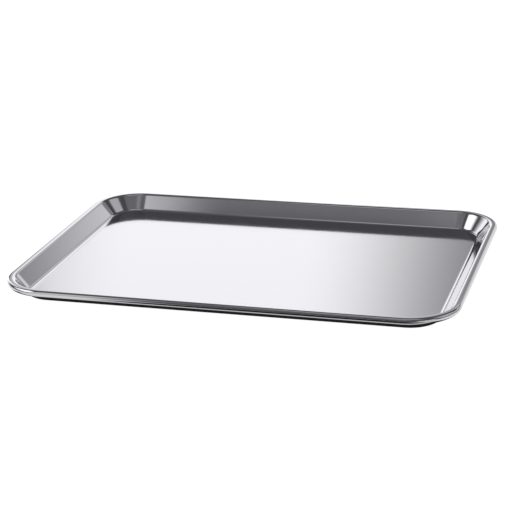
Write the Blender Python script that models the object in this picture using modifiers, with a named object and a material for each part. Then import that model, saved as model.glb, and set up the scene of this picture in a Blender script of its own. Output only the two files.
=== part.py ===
"""Shallow counting tray: one drawn stainless sheet with a curled rim, and the wire the rim is curled round.

Metres, +Z up. The origin is under the middle of the tray, on the surface it stands on.
X runs along the long side and Y across. A section point is (inset, height): inset is measured
inward from the rim's outer edge, height from the underside of the base.
"""
import math

import bmesh
import bpy
from mathutils import Vector

# Driving dimensions
LENGTH = 0.350                   # over the rim, along X
WIDTH = 0.250                    # over the rim, along Y
HEIGHT = 0.0132                  # base underside to the top of the rim
CORNER_RADIUS = 0.0378           # plan radius of the rim's outer edge
SHEET = 0.0007                   # sheet thickness

FLOOR_INSET = 0.0177             # outer edge to where the flat floor starts
FLOOR_FILLET = 0.0040            # inside radius between floor and wall
CREST_INSET = 0.0040             # outer edge to where the crown starts to turn down into the wall
CREST_RADIUS = 0.0032            # outside radius of that turn

CURL_RADIUS = 0.00255            # outside radius of the rim's outer edge
CURL_UNDERSIDE = 0.0034          # straight run of the curl under the crown
CURL_TIP_RADIUS = 0.0019         # outside radius where the curl's free edge turns up
CURL_TIP_TURN = math.radians(60)

WIRE_RADIUS = 0.0015
WIRE_BUTT_GAP = 0.0010           # between the wire's two ends, at the middle of the back

CORNER_SEGMENTS = 10
FILLET_SEGMENTS = 4
CREST_SEGMENTS = 4
CURL_SEGMENTS = 8
TIP_SEGMENTS = 3
MERGE_DISTANCE = 0.00005

HALF_LENGTH = LENGTH / 2
HALF_WIDTH = WIDTH / 2
QUARTER_TURN = math.pi / 2
CORNER_CENTRE = Vector((HALF_LENGTH - CORNER_RADIUS, HALF_WIDTH - CORNER_RADIUS, 0))


def clear_scene():
    for obj in list(bpy.data.objects):
        bpy.data.objects.remove(obj)


def new_collection(name):
    collection = bpy.data.collections.new(name)
    bpy.context.scene.collection.children.link(collection)
    return collection


def metal(name, colour, roughness):
    material = bpy.data.materials.new(name)
    material.use_nodes = True
    shader = material.node_tree.nodes["Principled BSDF"]
    shader.inputs["Base Color"].default_value = (*colour, 1)
    shader.inputs["Metallic"].default_value = 1
    shader.inputs["Roughness"].default_value = roughness
    return material


def arc(centre, radius, start, end, segments):
    """Points on a circle in the section's plane, both ends included."""
    points = []
    for step in range(segments + 1):
        angle = start + (end - start) * step / segments
        points.append((centre[0] + radius * math.cos(angle), centre[1] + radius * math.sin(angle)))
    return points


def wall_slope(crest_centre, fillet_centre):
    """Slope of the straight wall, which is tangent to the crest's circle above and the fillet's below."""
    run = fillet_centre[0] - crest_centre[0]
    drop = crest_centre[1] - fillet_centre[1]
    lean = math.asin((CREST_RADIUS + FLOOR_FILLET) / math.hypot(run, drop))
    return math.atan2(drop, run) + lean


def pan_section():
    """The skin seen from above, from the edge of the floor to the free edge of the curl."""
    fillet_centre = (FLOOR_INSET, SHEET + FLOOR_FILLET)
    crest_centre = (CREST_INSET, HEIGHT - CREST_RADIUS)
    slope = wall_slope(crest_centre, fillet_centre)
    fillet = arc(fillet_centre, FLOOR_FILLET, -QUARTER_TURN, -QUARTER_TURN - slope, FILLET_SEGMENTS)
    crest = arc(crest_centre, CREST_RADIUS, QUARTER_TURN - slope, QUARTER_TURN, CREST_SEGMENTS)

    curl_centre = (CURL_RADIUS, HEIGHT - CURL_RADIUS)
    curl = arc(curl_centre, CURL_RADIUS, QUARTER_TURN, 3 * QUARTER_TURN, CURL_SEGMENTS)

    tip_centre = (CURL_RADIUS + CURL_UNDERSIDE, HEIGHT - 2 * CURL_RADIUS + CURL_TIP_RADIUS)
    tip = arc(tip_centre, CURL_TIP_RADIUS, -QUARTER_TURN, -QUARTER_TURN + CURL_TIP_TURN, TIP_SEGMENTS)
    return fillet + crest + curl + tip


def section_edges(mesh, points):
    """The section as a chain of edges across the middle of the long side, ready to be drawn along it."""
    vertices = [mesh.verts.new((0, HALF_WIDTH - inset, height)) for inset, height in points]
    return [mesh.edges.new(pair) for pair in zip(vertices, vertices[1:])]


def chain_in(geometry):
    vertices = [item for item in geometry if isinstance(item, bmesh.types.BMVert)]
    edges = [item for item in geometry if isinstance(item, bmesh.types.BMEdge)]
    return vertices, edges


def draw_straight(mesh, edges, offset):
    """Extrude a chain of edges along a straight side."""
    vertices, edges = chain_in(bmesh.ops.extrude_edge_only(mesh, edges=edges)["geom"])
    bmesh.ops.translate(mesh, verts=vertices, vec=offset)
    return vertices, edges


def draw_corner(mesh, vertices, edges):
    """Spin a chain of edges round the corner, from the long side to the short one."""
    spun = bmesh.ops.spin(
        mesh,
        geom=vertices + edges,
        cent=CORNER_CENTRE,
        axis=(0, 0, 1),
        angle=-QUARTER_TURN,
        steps=CORNER_SEGMENTS,
    )
    return chain_in(spun["geom_last"])[1]


def close_floor(mesh):
    """Fill the flat floor of the quarter, out to the middle of the tray."""
    rim = [vertex for vertex in mesh.verts if abs(vertex.co.z - SHEET) < MERGE_DISTANCE]
    rim.sort(key=lambda vertex: math.atan2(vertex.co.y, vertex.co.x))
    middle = mesh.verts.new((0, 0, SHEET))
    mesh.faces.new([middle] + rim)


def quarter_pan():
    """One quarter of the pan's upper skin, open along both middle planes."""
    mesh = bmesh.new()
    edges = section_edges(mesh, pan_section())
    vertices, edges = draw_straight(mesh, edges, Vector((CORNER_CENTRE.x, 0, 0)))
    edges = draw_corner(mesh, vertices, edges)
    draw_straight(mesh, edges, Vector((0, -CORNER_CENTRE.y, 0)))
    bmesh.ops.remove_doubles(mesh, verts=mesh.verts, dist=MERGE_DISTANCE)
    close_floor(mesh)
    bmesh.ops.recalc_face_normals(mesh, faces=mesh.faces)
    floor = max(mesh.faces, key=lambda face: face.calc_area())
    if floor.normal.z < 0:
        bmesh.ops.reverse_faces(mesh, faces=mesh.faces)
    return mesh


def make_pan(collection):
    """The drawn sheet: floor, sloping wall, crown and curl, one thickness throughout."""
    mesh = bpy.data.meshes.new("tray_pan")
    quarter = quarter_pan()
    quarter.to_mesh(mesh)
    quarter.free()
    mesh.shade_smooth()
    mesh.materials.append(metal("satin_stainless", (0.62, 0.62, 0.63), 0.28))
    pan = bpy.data.objects.new("tray_pan", mesh)
    collection.objects.link(pan)

    mirror = pan.modifiers.new("Both halves", "MIRROR")
    mirror.use_axis = (True, True, False)
    mirror.merge_threshold = MERGE_DISTANCE
    solidify = pan.modifiers.new("Sheet thickness", "SOLIDIFY")
    solidify.thickness = SHEET
    solidify.offset = -1
    solidify.use_even_offset = True
    return pan


def wire_route():
    """The wire's centre line: once round the rim, starting and ending at the butt gap at the back."""
    bend = CORNER_RADIUS - CURL_RADIUS
    height = HEIGHT - CURL_RADIUS
    corners = [(1, 1), (1, -1), (-1, -1), (-1, 1)]
    points = [Vector((WIRE_BUTT_GAP / 2, HALF_WIDTH - CURL_RADIUS, height))]
    for index, (side_x, side_y) in enumerate(corners):
        centre = Vector((side_x * CORNER_CENTRE.x, side_y * CORNER_CENTRE.y, height))
        first = QUARTER_TURN * (1 - index)
        for step in range(CORNER_SEGMENTS + 1):
            angle = first - QUARTER_TURN * step / CORNER_SEGMENTS
            points.append(centre + bend * Vector((math.cos(angle), math.sin(angle), 0)))
    points.append(Vector((-WIRE_BUTT_GAP / 2, HALF_WIDTH - CURL_RADIUS, height)))
    return points


def make_wire(collection):
    """The round wire that stiffens the rim, bent to shape with its ends butted."""
    curve = bpy.data.curves.new("rim_wire", "CURVE")
    curve.dimensions = "3D"
    curve.bevel_depth = WIRE_RADIUS
    curve.bevel_resolution = 2
    curve.use_fill_caps = True
    route = wire_route()
    spline = curve.splines.new("POLY")
    spline.points.add(len(route) - 1)
    for point, place in zip(spline.points, route):
        point.co = (*place, 1)
    curve.materials.append(metal("drawn_wire", (0.55, 0.55, 0.56), 0.35))
    wire = bpy.data.objects.new("rim_wire", curve)
    collection.objects.link(wire)
    return wire


clear_scene()
tray = new_collection("counting_tray")
make_pan(tray)
make_wire(tray)
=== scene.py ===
"""A shallow counting tray, dressed: the pressed stainless pan, the wire in its rim, and the studio."""
import math

import bmesh
import bpy
from mathutils import Matrix, Vector


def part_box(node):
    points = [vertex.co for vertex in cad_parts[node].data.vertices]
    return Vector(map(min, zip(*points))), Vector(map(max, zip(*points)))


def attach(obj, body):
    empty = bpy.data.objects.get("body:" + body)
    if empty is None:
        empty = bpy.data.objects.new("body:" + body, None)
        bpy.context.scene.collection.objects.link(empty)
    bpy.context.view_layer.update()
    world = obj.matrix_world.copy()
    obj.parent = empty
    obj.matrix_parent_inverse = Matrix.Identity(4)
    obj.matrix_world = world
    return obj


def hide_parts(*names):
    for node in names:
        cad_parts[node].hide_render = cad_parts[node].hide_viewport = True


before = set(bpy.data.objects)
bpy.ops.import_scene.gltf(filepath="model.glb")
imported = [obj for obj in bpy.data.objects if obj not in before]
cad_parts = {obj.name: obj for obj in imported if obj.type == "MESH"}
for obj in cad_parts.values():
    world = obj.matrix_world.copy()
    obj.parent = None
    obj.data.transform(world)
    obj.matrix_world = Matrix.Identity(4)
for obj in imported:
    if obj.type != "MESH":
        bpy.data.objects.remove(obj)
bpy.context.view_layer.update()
MM = 0.001


# ---------------------------------------------------------------------------------------------
# The pan. One blank of 0.7 mm cold-rolled stainless sheet, pressed into a low pan between steel
# dies, its edge then rolled outward and under into a rim. The press leaves the floor satin, as
# the sheet came, and burnishes the walls and the rim where the die dragged over them.

pan_low, pan_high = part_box("tray_pan")
LENGTH = pan_high.x - pan_low.x
WIDTH = pan_high.y - pan_low.y
HEIGHT = pan_high.z
CORNER_RADIUS = 37.8 * MM        # plan radius of the rim's outer edge
SHEET = 0.7 * MM
FLOOR_INSET = 17.7 * MM          # outer edge to the start of the flat floor
FLOOR_FILLET = 4.0 * MM
CREST_INSET = 4.0 * MM           # outer edge to the start of the turn down into the wall
CREST_RADIUS = 3.2 * MM
CURL_RADIUS = 2.55 * MM
CURL_UNDERSIDE = 3.4 * MM
CURL_TIP_RADIUS = 1.9 * MM
CURL_TIP_TURN = math.radians(60)
HOLDING_MARGIN = 0.25 * MM       # keeps a flat's shading flat right up to its neighbouring bend
ARC_STEP = math.radians(6)
CORNER_STEPS = 32
WELD = 0.01 * MM
QUARTER_TURN = math.pi / 2


def arc(centre, radius, start, end):
    """Points on a circle in the section's plane, one every few degrees, both ends included."""
    steps = max(3, round(abs(end - start) / ARC_STEP))
    angles = [start + (end - start) * step / steps for step in range(steps + 1)]
    return [(centre[0] + radius * math.cos(a), centre[1] + radius * math.sin(a)) for a in angles]


def skin(depth):
    """The sheet's section at a depth under its upper skin, from the floor to the curl's free edge."""
    fillet_centre = (FLOOR_INSET, SHEET + FLOOR_FILLET)
    crest_centre = (CREST_INSET, HEIGHT - CREST_RADIUS)
    run = fillet_centre[0] - crest_centre[0]
    drop = crest_centre[1] - fillet_centre[1]
    slope = math.atan2(drop, run) + math.asin((CREST_RADIUS + FLOOR_FILLET) / math.hypot(run, drop))
    curl_centre = (CURL_RADIUS, HEIGHT - CURL_RADIUS)
    tip_centre = (CURL_RADIUS + CURL_UNDERSIDE, HEIGHT - 2 * CURL_RADIUS + CURL_TIP_RADIUS)
    points = [(FLOOR_INSET + HOLDING_MARGIN, SHEET - depth)]
    points += arc(fillet_centre, FLOOR_FILLET + depth, -QUARTER_TURN, -QUARTER_TURN - slope)
    points += arc(crest_centre, CREST_RADIUS - depth, QUARTER_TURN - slope, QUARTER_TURN)
    points += arc(curl_centre, CURL_RADIUS - depth, QUARTER_TURN, 3 * QUARTER_TURN)
    points += arc(tip_centre, CURL_TIP_RADIUS - depth, -QUARTER_TURN, -QUARTER_TURN + CURL_TIP_TURN)
    return points


def with_holding_points(points):
    """Adds a point close to each end of every long straight run."""
    held = [points[0]]
    for before, after in zip(points, points[1:]):
        start, end = Vector(before), Vector(after)
        length = (end - start).length
        if length > 4 * HOLDING_MARGIN:
            along = (end - start) * (HOLDING_MARGIN / length)
            held += [tuple(start + along), tuple(end - along)]
        held.append(after)
    return held


def sheet_section():
    """Round the whole sheet: out along one skin, round the sheared edge, back along the other."""
    outer, inner = skin(0), skin(SHEET)
    edge_centre = ((outer[-1][0] + inner[-1][0]) / 2, (outer[-1][1] + inner[-1][1]) / 2)
    first = math.atan2(outer[-1][1] - edge_centre[1], outer[-1][0] - edge_centre[0])
    sheared_edge = arc(edge_centre, SHEET / 2, first, first + math.pi)[1:-1]
    return with_holding_points(outer) + sheared_edge + with_holding_points(inner)[::-1]


def add_node(tree, kind, inputs=None, **settings):
    """One node with its settings and its inputs, each input a value or another node's output socket."""
    node = tree.nodes.new(kind)
    for name, value in settings.items():
        setattr(node, name, value)
    for name, value in (inputs or {}).items():
        if isinstance(value, bpy.types.NodeSocket):
            tree.links.new(value, node.inputs[name])
        else:
            node.inputs[name].default_value = value
    return node


def rim_sweep():
    """A node group that draws the section it is given along a rectangle with rounded corners."""
    tree = bpy.data.node_groups.new("Draw section round the rim", "GeometryNodeTree")
    face = tree.interface
    face.new_socket("Section", in_out="INPUT", socket_type="NodeSocketGeometry")
    for name in ("Length", "Width", "Corner Radius"):
        face.new_socket(name, in_out="INPUT", socket_type="NodeSocketFloat")
    face.new_socket("Corner Steps", in_out="INPUT", socket_type="NodeSocketInt")
    face.new_socket("Finish", in_out="INPUT", socket_type="NodeSocketMaterial")
    face.new_socket("Pressing", in_out="OUTPUT", socket_type="NodeSocketGeometry")
    given = add_node(tree, "NodeGroupInput").outputs
    rectangle = add_node(tree, "GeometryNodeCurvePrimitiveQuadrilateral", {
        "Width": given["Length"], "Height": given["Width"]})
    rounded = add_node(tree, "GeometryNodeFilletCurve", {
        "Curve": rectangle.outputs[0], "Radius": given["Corner Radius"], "Count": given["Corner Steps"]},
        mode="POLY")
    path = add_node(tree, "GeometryNodeSetCurveNormal", {"Curve": rounded.outputs[0]}, mode="Z_UP")
    section = add_node(tree, "GeometryNodeMeshToCurve", {"Mesh": given["Section"]})
    swept = add_node(tree, "GeometryNodeCurveToMesh", {
        "Curve": path.outputs[0], "Profile Curve": section.outputs[0]})
    smooth = add_node(tree, "GeometryNodeSetShadeSmooth", {"Geometry": swept.outputs[0]})
    real = add_node(tree, "GeometryNodeRealizeInstances", {"Geometry": smooth.outputs[0]})
    finished = add_node(tree, "GeometryNodeSetMaterial", {
        "Geometry": real.outputs[0], "Material": given["Finish"]})
    add_node(tree, "NodeGroupOutput", {"Pressing": finished.outputs[0]})
    return tree


def run_modifier(piece, tree, values):
    """Gives a piece a node group's result as its own plain mesh."""
    modifier = piece.modifiers.new(tree.name, "NODES")
    modifier.node_group = tree
    sockets = {item.name: item.identifier for item in tree.interface.items_tree if item.in_out == "INPUT"}
    for name, value in values.items():
        modifier[sockets[name]] = value
    graph = bpy.context.evaluated_depsgraph_get()
    result = bpy.data.meshes.new_from_object(piece.evaluated_get(graph))
    piece.modifiers.remove(modifier)
    piece.data = result


def srgb(code, alpha=1):
    """A hex sRGB colour as the linear values that shaders take."""
    channels = [int(code[i:i + 2], 16) / 255 for i in (1, 3, 5)]
    return tuple(c / 12.92 if c <= 0.04045 else ((c + 0.055) / 1.055) ** 2.4 for c in channels) + (alpha,)


def new_finish(name):
    """A new material with an empty node tree, and that tree."""
    finish = bpy.data.materials.new(name)
    finish.use_nodes = True
    finish.node_tree.nodes.clear()
    return finish, finish.node_tree


def pressed_stainless():
    """Cold-rolled stainless after pressing: near-mirror walls, a satin floor with faint rolling grain.
    The grain of the real sheet is about 0.05 mm wide. It is drawn at 0.5 mm so that it shows."""
    finish, tree = new_finish("Pressed stainless sheet")
    place = add_node(tree, "ShaderNodeTexCoord").outputs["Object"]
    grain_space = add_node(tree, "ShaderNodeMapping", {
        "Vector": place, "Scale": (1 / 0.045, 1 / 0.0005, 1 / 0.0005)})
    grain = add_node(tree, "ShaderNodeTexNoise", {
        "Vector": grain_space.outputs[0], "Scale": 1, "Detail": 3, "Roughness": 0.6})
    handling = add_node(tree, "ShaderNodeTexNoise", {
        "Vector": place, "Scale": 1 / 0.030, "Detail": 4, "Roughness": 0.55})
    height = add_node(tree, "ShaderNodeSeparateXYZ", {"Vector": place}).outputs["Z"]
    floor_zone = add_node(tree, "ShaderNodeMapRange", {
        "Value": height, "From Min": 1.0 * MM, "From Max": 3.0 * MM, "To Min": 1, "To Max": 0},
        interpolation_type="SMOOTHSTEP").outputs[0]
    zone_roughness = add_node(tree, "ShaderNodeMapRange", {
        "Value": floor_zone, "To Min": 0.07, "To Max": 0.09}).outputs[0]
    smear = add_node(tree, "ShaderNodeMapRange", {
        "Value": handling.outputs[0], "From Min": 0.3, "From Max": 0.7,
        "To Min": -0.015, "To Max": 0.015}).outputs[0]
    roughness = add_node(tree, "ShaderNodeMath", {0: zone_roughness, 1: smear}, operation="ADD").outputs[0]
    bump = add_node(tree, "ShaderNodeBump", {
        "Height": grain.outputs[0], "Strength": 0.05, "Distance": 0.02 * MM})
    metal = add_node(tree, "ShaderNodeBsdfPrincipled", {
        "Base Color": srgb("#C1C0C3"), "Metallic": 1.0, "Roughness": roughness, "Normal": bump.outputs[0]})
    add_node(tree, "ShaderNodeOutputMaterial", {"Surface": metal.outputs[0]})
    return finish


def section_piece(name, points):
    """An object holding a section as a chain of edges, turned to suit the rim's path."""
    mesh = bpy.data.meshes.new(name)
    vertices = [(-inset, -height, 0) for inset, height in points]
    edges = [(i, i + 1) for i in range(len(points) - 1)]
    mesh.from_pydata(vertices, edges, [])
    piece = bpy.data.objects.new(name, mesh)
    bpy.context.scene.collection.objects.link(piece)
    return piece


def close_openings(piece):
    """Welds a swept sheet, closes the flat floor above and below, and points every face outward."""
    mesh = bmesh.new()
    mesh.from_mesh(piece.data)
    bmesh.ops.remove_doubles(mesh, verts=mesh.verts, dist=WELD)
    rims = [edge for edge in mesh.edges if edge.is_boundary]
    bmesh.ops.holes_fill(mesh, edges=rims, sides=0)
    bmesh.ops.recalc_face_normals(mesh, faces=mesh.faces)
    for face in mesh.faces:
        face.smooth = True
    mesh.to_mesh(piece.data)
    mesh.free()


sweep = rim_sweep()
pan = section_piece("pressed_pan", sheet_section())
run_modifier(pan, sweep, {
    "Length": LENGTH,
    "Width": WIDTH,
    "Corner Radius": CORNER_RADIUS,
    "Corner Steps": CORNER_STEPS,
    "Finish": pressed_stainless(),
})
close_openings(pan)
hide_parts("tray_pan")
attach(pan, "root")


# ---------------------------------------------------------------------------------------------
# The rim wire. A length of 3 mm drawn steel wire bent to the rim's outline, its ends butted at
# the middle of the back. The curl is rolled round it, so it shows only through the slit below.

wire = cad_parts["rim_wire"]


def drawn_wire():
    """Bright-drawn steel wire: dull from its lubricant film, with fine die lines along it.
    The real lines are about 0.02 mm wide and are drawn at 0.15 mm so that they show."""
    finish, tree = new_finish("Drawn steel wire")
    place = add_node(tree, "ShaderNodeTexCoord").outputs["Object"]
    lines = add_node(tree, "ShaderNodeTexNoise", {"Vector": place, "Scale": 1 / 0.00015, "Detail": 2})
    film = add_node(tree, "ShaderNodeTexNoise", {"Vector": place, "Scale": 1 / 0.006, "Detail": 3})
    roughness = add_node(tree, "ShaderNodeMapRange", {
        "Value": film.outputs[0], "From Min": 0.3, "From Max": 0.7,
        "To Min": 0.32, "To Max": 0.48}).outputs[0]
    bump = add_node(tree, "ShaderNodeBump", {
        "Height": lines.outputs[0], "Strength": 0.2, "Distance": 0.01 * MM})
    metal = add_node(tree, "ShaderNodeBsdfPrincipled", {
        "Base Color": srgb("#A9A8AA"), "Metallic": 1.0, "Roughness": roughness, "Normal": bump.outputs[0]})
    add_node(tree, "ShaderNodeOutputMaterial", {"Surface": metal.outputs[0]})
    return finish


wire.data.materials.clear()
wire.data.materials.append(drawn_wire())


# ---------------------------------------------------------------------------------------------
# The studio. A plain white floor under an even white surround, and a dim square tent with soft
# glowing panels on its walls, which is what the steel reflects. The camera sees only the floor.

TENT = 1.6                       # from the middle to each wall
CEILING = 3.0
HANGING_GAP = 5 * MM             # between a panel and the next one, so that none coincide
OUTSIDE_PANELS = 0.1             # added to the tent's width and height, so that it clears them
BACK, LEFT, FRONT, RIGHT = 0, 90, 180, -90
WHITE = (1, 1, 1, 1)
WHITE_LEVEL = 1.15               # a little over white, so that the surround shows no grey
DIM_LEVEL = 0.12
BLACK_LEVEL = 0.02
FLOOR_SHADED_SHARE = 0.15        # how much of the floor's white comes from light falling on it


def studio_sheet(name, width, height, place, finish):
    """A flat sheet, facing along its own Z, that stands where a matrix puts it."""
    mesh = bpy.data.meshes.new(name)
    corners = [(x * width / 2, y * height / 2, 0) for x, y in ((-1, -1), (1, -1), (1, 1), (-1, 1))]
    mesh.from_pydata(corners, [], [(0, 1, 2, 3)])
    mesh.materials.append(finish)
    sheet = bpy.data.objects.new(name, mesh)
    sheet.matrix_world = place
    bpy.context.scene.collection.objects.link(sheet)
    return sheet


def only_in_reflections(sheet):
    """Keeps a sheet out of the camera's sight and out of the light on the floor."""
    sheet.visible_camera = False
    sheet.visible_diffuse = False
    sheet.visible_shadow = False


def soft_edges(tree, width, height, soft):
    """One inside a sheet, falling to nothing over soft widths: left, right, lower, upper."""
    place = add_node(tree, "ShaderNodeTexCoord").outputs["Object"]
    split = add_node(tree, "ShaderNodeSeparateXYZ", {"Vector": place}).outputs
    share = None
    for axis, edge, inward in (
            ("X", -width / 2, soft[0]), ("X", width / 2, -soft[1]),
            ("Y", -height / 2, soft[2]), ("Y", height / 2, -soft[3])):
        ramp = add_node(tree, "ShaderNodeMapRange", {
            "Value": split[axis], "From Min": edge, "From Max": edge + inward},
            interpolation_type="SMOOTHSTEP").outputs[0]
        share = ramp if share is None else add_node(
            tree, "ShaderNodeMath", {0: share, 1: ramp}, operation="MULTIPLY").outputs[0]
    return share


def wall_place(facing, across, up, lean, away):
    """Upright on the side of the tray that a heading faces, leaning left by some degrees."""
    heading = Matrix.Rotation(math.radians(facing), 4, "Z")
    upright = Matrix.Rotation(QUARTER_TURN, 4, "X")
    tilt = Matrix.Rotation(math.radians(lean), 4, "Z")
    return heading @ Matrix.Translation((across, away, up)) @ upright @ tilt


def light_panel(name, width, height, place, strength, soft):
    """A soft-edged panel whose light adds to whatever glows behind it."""
    finish, tree = new_finish(name)
    level = add_node(tree, "ShaderNodeMath", {
        0: soft_edges(tree, width, height, soft), 1: strength}, operation="MULTIPLY")
    glow = add_node(tree, "ShaderNodeEmission", {"Color": WHITE, "Strength": level.outputs[0]})
    clear = add_node(tree, "ShaderNodeBsdfTransparent")
    both = add_node(tree, "ShaderNodeAddShader", {0: glow.outputs[0], 1: clear.outputs[0]})
    add_node(tree, "ShaderNodeOutputMaterial", {"Surface": both.outputs[0]})
    only_in_reflections(studio_sheet(name, width, height, place, finish))


WALL_PANELS = (
    # name, wall, middle across, middle up, lean, width, height, strength, soft edges
    ("back_fill", BACK, 0.30, 0.60, 0, 2.6, 1.2, 0.24, (0.1, 0.1, 0.01, 0.4)),
    ("back_panel", BACK, -0.645, 0.60, 8, 1.25, 1.6, 1.16, (0.55, 0.38, 0.01, 0.45)),
    ("back_high_panel", BACK, 0.28, 0.95, 0, 0.9, 0.5, 0.55, (0.15, 0.4, 0.1, 0.15)),
    ("back_left_panel", BACK, -1.35, 1.4, 0, 0.7, 1.6, 0.9, (0.01, 0.4, 0.5, 0.6)),
    ("back_right_panel", BACK, 0.85, 0.16, -25, 1.5, 0.8, 0.72, (0.12, 0.2, 0.1, 0.3)),
    ("back_corner_panel", BACK, 1.25, 0.75, 0, 0.7, 0.8, 0.6, (0.3, 0.01, 0.3, 0.2)),
    ("left_back_panel", LEFT, 1.0, 1.0, 0, 1.3, 2.0, 1.53, (0.9, 0.01, 0.01, 1.1)),
    ("left_panel", LEFT, -0.64, 1.45, 0, 1.92, 1.9, 1.9, (0.6, 0.4, 0.1, 0.2)),
    ("front_left_panel", FRONT, 1.46, 1.2, -12, 1.5, 4.2, 0.76, (0.26, 0.01, 0.1, 0.1)),
    ("front_fill", FRONT, 0.45, 2.0, 0, 2.3, 2.2, 0.06, (0.6, 0.01, 0.3, 0.01)),
    ("front_panel", FRONT, -0.04, 2.1, 0, 1.32, 2.0, 0.13, (0.7, 0.3, 0.5, 0.01)),
    ("front_right_panel", FRONT, -1.15, 0.50, 0, 0.9, 0.9, 0.8, (0.01, 0.4, 0.1, 0.3)),
    ("right_front_panel", RIGHT, 1.00, 0.50, 0, 1.2, 0.9, 0.8, (0.5, 0.01, 0.1, 0.3)),
    ("right_corner_panel", RIGHT, -1.30, 0.75, 0, 0.6, 0.8, 0.6, (0.01, 0.3, 0.3, 0.2)),
    ("right_panel", RIGHT, -0.47, 1.2, 0, 1.95, 2.0, 0.58, (0.4, 0.45, 0.3, 0.2)),
)
away = TENT
for name, facing, across, up, lean, width, height, strength, soft in WALL_PANELS:
    light_panel(name, width, height, wall_place(facing, across, up, lean, away), strength, soft)
    away -= HANGING_GAP

CEILING_PANELS = (
    # name, middle along Y, drop from the ceiling, width, depth, strength, soft edges
    ("ceiling_panel", -0.90, 0.02, 3.2, 1.4, 0.12, (0.01, 0.01, 0.01, 0.3)),
    ("overhead_panel", -0.28, 0.04, 2.0, 1.15, 0.5, (0.4, 0.4, 0.3, 0.3)),
    ("ceiling_back_panel", 0.95, 0.06, 3.2, 1.3, 0.05, (0.01, 0.01, 0.3, 0.01)),
)
for name, middle, drop, width, depth, strength, soft in CEILING_PANELS:
    light_panel(name, width, depth, Matrix.Translation((0, middle, CEILING - drop)), strength, soft)


def plain_glow(name, strength, colour):
    """An even glow of one colour."""
    finish, tree = new_finish(name)
    glow = add_node(tree, "ShaderNodeEmission", {"Color": colour, "Strength": strength})
    add_node(tree, "ShaderNodeOutputMaterial", {"Surface": glow.outputs[0]})
    return finish


def dark_card(name, width, height, place, soft):
    """A black soft-edged card on the floor, seen only in the steel, which keeps the white floor out of the
    steel above it. Under the tray it is painted shade: the tray's shadow on the floor as the steel
    reflects it. In front of the tray it is a black flag.
    """
    finish, tree = new_finish(name)
    black = add_node(tree, "ShaderNodeEmission", {"Color": WHITE, "Strength": BLACK_LEVEL})
    clear = add_node(tree, "ShaderNodeBsdfTransparent")
    mixed = add_node(tree, "ShaderNodeMixShader", {
        0: soft_edges(tree, width, height, soft), 1: clear.outputs[0], 2: black.outputs[0]})
    add_node(tree, "ShaderNodeOutputMaterial", {"Surface": mixed.outputs[0]})
    only_in_reflections(studio_sheet(name, width, height, place, finish))


below = Matrix.Translation((0, 0, 0.1 * MM))
in_front = Matrix.Translation((0.045, -0.375, 0.2 * MM))
# shade_below is painted shade: a black card under the tray that stands in for its shadow on the floor,
# seen only in the steel's reflections
dark_card("shade_below", LENGTH, WIDTH, below, (0.004, 0.004, 0.004, 0.004))
dark_card("dark_strip_in_front", 0.33, 0.50, in_front, (0.06, 0.06, 0.1, 0.01))

bpy.ops.mesh.primitive_cube_add(size=1, location=(0, 0, CEILING / 2))
tent = bpy.context.object
tent.name = "dim_tent"
tent.scale = (2 * TENT + OUTSIDE_PANELS, 2 * TENT + OUTSIDE_PANELS, CEILING + OUTSIDE_PANELS)
tent.data.materials.append(plain_glow("Dim tent cloth", DIM_LEVEL, srgb("#F6F4FF")))
only_in_reflections(tent)

white_floor, tree = new_finish("Matt white floor")
matt = add_node(tree, "ShaderNodeBsdfDiffuse", {"Color": srgb("#F7F7F7")})
own_glow = add_node(tree, "ShaderNodeEmission", {"Color": WHITE, "Strength": WHITE_LEVEL})
mixed = add_node(tree, "ShaderNodeMixShader", {
    0: FLOOR_SHADED_SHARE, 1: own_glow.outputs[0], 2: matt.outputs[0]})
add_node(tree, "ShaderNodeOutputMaterial", {"Surface": mixed.outputs[0]})
studio_sheet("studio_floor", 40, 40, Matrix(), white_floor)

world = bpy.data.worlds.new("White surround")
bpy.context.scene.world = world
world.use_nodes = True
background = world.node_tree.nodes["Background"].inputs
background["Color"].default_value = WHITE
background["Strength"].default_value = WHITE_LEVEL
world.cycles_visibility.glossy = False

CAMERA_PLACE = (0.3449, -1.1623, 0.4406)
CAMERA_HEADING = math.radians(16.69)
CAMERA_DIP = math.radians(19.69)
CAMERA_ROLL = math.radians(-1.96)
camera = bpy.data.objects.new("camera", bpy.data.cameras.new("camera"))
camera.data.lens = 114.22
camera.data.sensor_width = 36
camera.matrix_world = (
    Matrix.Translation(CAMERA_PLACE)
    @ Matrix.Rotation(CAMERA_HEADING, 4, "Z")
    @ Matrix.Rotation(QUARTER_TURN - CAMERA_DIP, 4, "X")
    @ Matrix.Rotation(CAMERA_ROLL, 4, "Z")
)
bpy.context.scene.collection.objects.link(camera)
bpy.context.scene.camera = camera
bpy.context.scene.view_settings.view_transform = "Standard"
